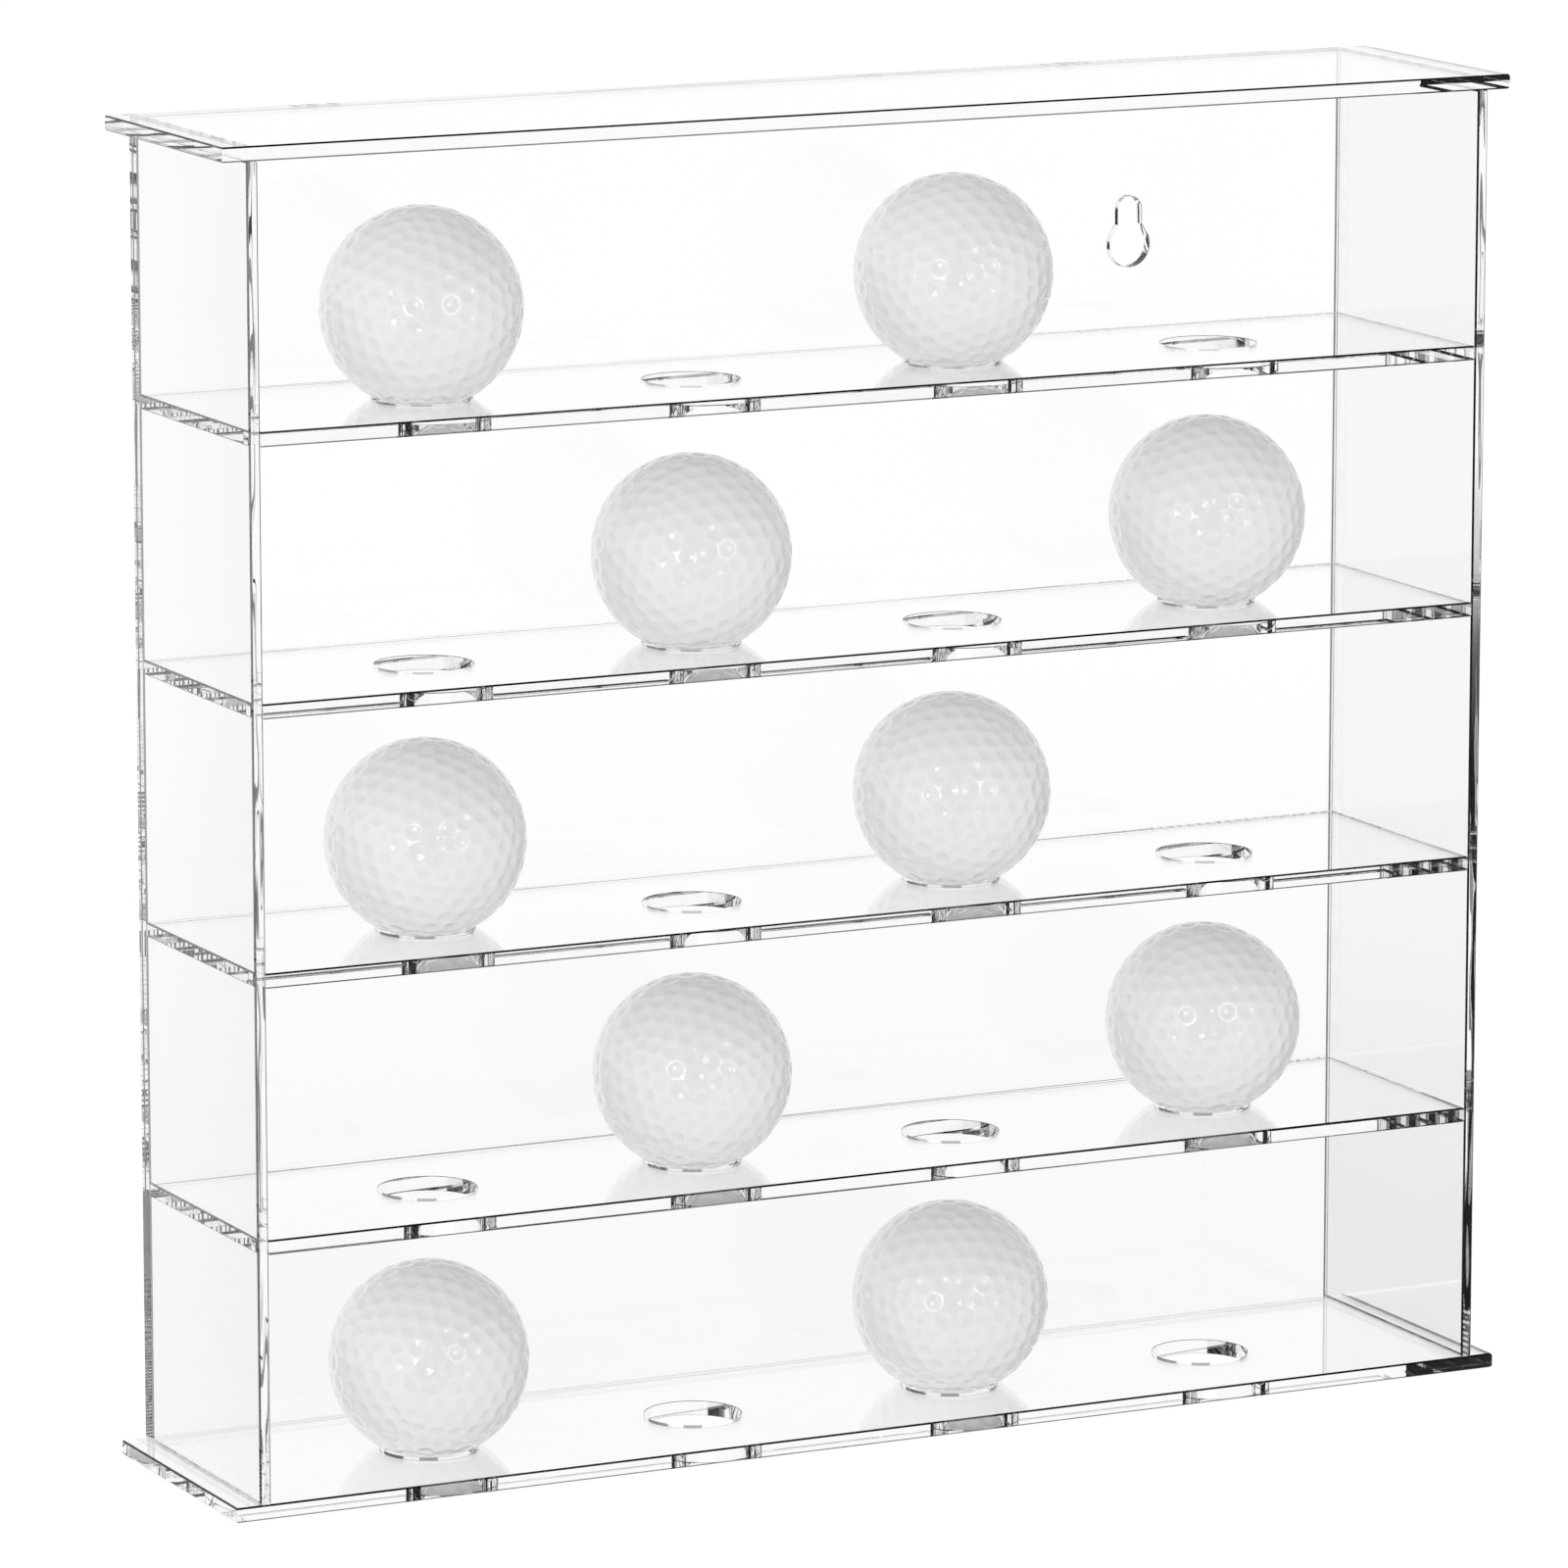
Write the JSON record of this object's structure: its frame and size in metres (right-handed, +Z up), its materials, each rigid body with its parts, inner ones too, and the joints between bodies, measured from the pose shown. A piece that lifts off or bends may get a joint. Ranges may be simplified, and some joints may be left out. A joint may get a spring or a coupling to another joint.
{
  "type": "golf ball display case",
  "caption": "Clear acrylic wall case, open at the front, with shelves whose round holes seat golf balls, and keyholes in the back panel to hang it by.",
  "frame": {"origin": "middle of the footprint, on the surface that the case stands on", "axes": "+X across the case to the right as seen from the front, +Y towards the back panel, +Z up; the open front faces -Y"},
  "size_m": [0.3, 0.0626, 0.2863],
  "materials": {
    "clear_acrylic": "clear cast acrylic sheet with polished faces",
    "ball_cover": "white dimpled cover, satin"
  },
  "bodies": {
    "case": {"top_panel": "clear_acrylic", "bottom_panel": "clear_acrylic", "left_side_panel": "clear_acrylic", "right_side_panel": "clear_acrylic", "back_panel": "clear_acrylic", "shelf_1": "clear_acrylic", "shelf_2": "clear_acrylic", "shelf_3": "clear_acrylic", "shelf_4": "clear_acrylic"},
    "ball_r1_c1": {"ball_r1_c1": "ball_cover"},
    "ball_r1_c3": {"ball_r1_c3": "ball_cover"},
    "ball_r2_c2": {"ball_r2_c2": "ball_cover"},
    "ball_r2_c4": {"ball_r2_c4": "ball_cover"},
    "ball_r3_c1": {"ball_r3_c1": "ball_cover"},
    "ball_r3_c3": {"ball_r3_c3": "ball_cover"},
    "ball_r4_c2": {"ball_r4_c2": "ball_cover"},
    "ball_r4_c4": {"ball_r4_c4": "ball_cover"},
    "ball_r5_c1": {"ball_r5_c1": "ball_cover"},
    "ball_r5_c3": {"ball_r5_c3": "ball_cover"}
  },
  "joints": [
    {"name": "lift_r1_c1", "type": "hinge", "parent": "case", "child": "ball_r1_c1", "pos_m": [-0.093, -0.03963, 0.19191], "axis": [1, 0, 0], "range_deg": [0, 50]},
    {"name": "lift_r1_c3", "type": "hinge", "parent": "case", "child": "ball_r1_c3", "pos_m": [0.031, -0.03963, 0.19191], "axis": [1, 0, 0], "range_deg": [0, 50]},
    {"name": "lift_r2_c2", "type": "hinge", "parent": "case", "child": "ball_r2_c2", "pos_m": [-0.031, -0.03963, 0.13576], "axis": [1, 0, 0], "range_deg": [0, 50]},
    {"name": "lift_r2_c4", "type": "hinge", "parent": "case", "child": "ball_r2_c4", "pos_m": [0.093, -0.03963, 0.13576], "axis": [1, 0, 0], "range_deg": [0, 50]},
    {"name": "lift_r3_c1", "type": "hinge", "parent": "case", "child": "ball_r3_c1", "pos_m": [-0.093, -0.03963, 0.07961], "axis": [1, 0, 0], "range_deg": [0, 50]},
    {"name": "lift_r3_c3", "type": "hinge", "parent": "case", "child": "ball_r3_c3", "pos_m": [0.031, -0.03963, 0.07961], "axis": [1, 0, 0], "range_deg": [0, 50]},
    {"name": "lift_r4_c2", "type": "hinge", "parent": "case", "child": "ball_r4_c2", "pos_m": [-0.031, -0.03963, 0.02346], "axis": [1, 0, 0], "range_deg": [0, 50]},
    {"name": "lift_r4_c4", "type": "hinge", "parent": "case", "child": "ball_r4_c4", "pos_m": [0.093, -0.03963, 0.02346], "axis": [1, 0, 0], "range_deg": [0, 50]},
    {"name": "lift_r5_c1", "type": "hinge", "parent": "case", "child": "ball_r5_c1", "pos_m": [-0.093, -0.03963, -0.03269], "axis": [1, 0, 0], "range_deg": [0, 50]},
    {"name": "lift_r5_c3", "type": "hinge", "parent": "case", "child": "ball_r5_c3", "pos_m": [0.031, -0.03963, -0.03269], "axis": [1, 0, 0], "range_deg": [0, 50]}
  ]
}
